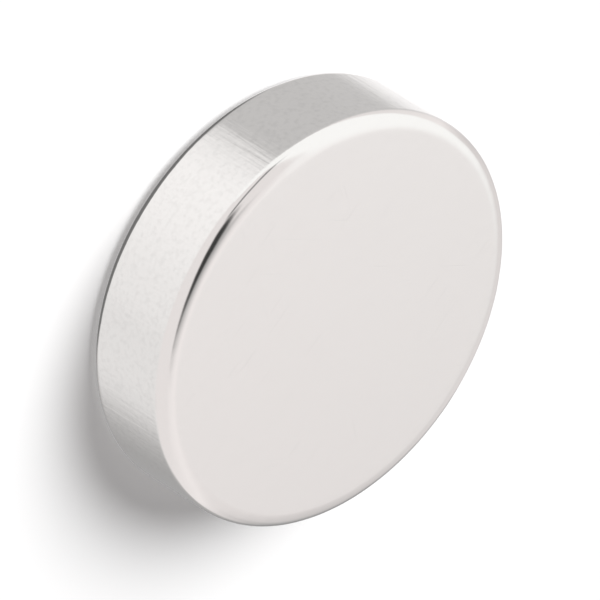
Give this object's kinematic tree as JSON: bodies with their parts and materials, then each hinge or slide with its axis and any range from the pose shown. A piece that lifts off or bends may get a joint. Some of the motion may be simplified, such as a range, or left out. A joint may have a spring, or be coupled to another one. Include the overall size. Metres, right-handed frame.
{
  "type": "disc magnet",
  "caption": "Flat round disc magnet with two plane pole faces, a straight rim and softly worn edges, in bright nickel plate.",
  "frame": {"origin": "centre of the lower pole face, on the disc's axis", "axes": "+Z along the disc's axis, from the lower pole face to the upper one"},
  "size_m": [0.012, 0.012, 0.003],
  "materials": {
    "nickel_plate": "bright nickel plate, lightly tumbled, with a fine satin grain"
  },
  "bodies": {
    "root": {"disc_magnet": "nickel_plate"}
  },
  "joints": []
}
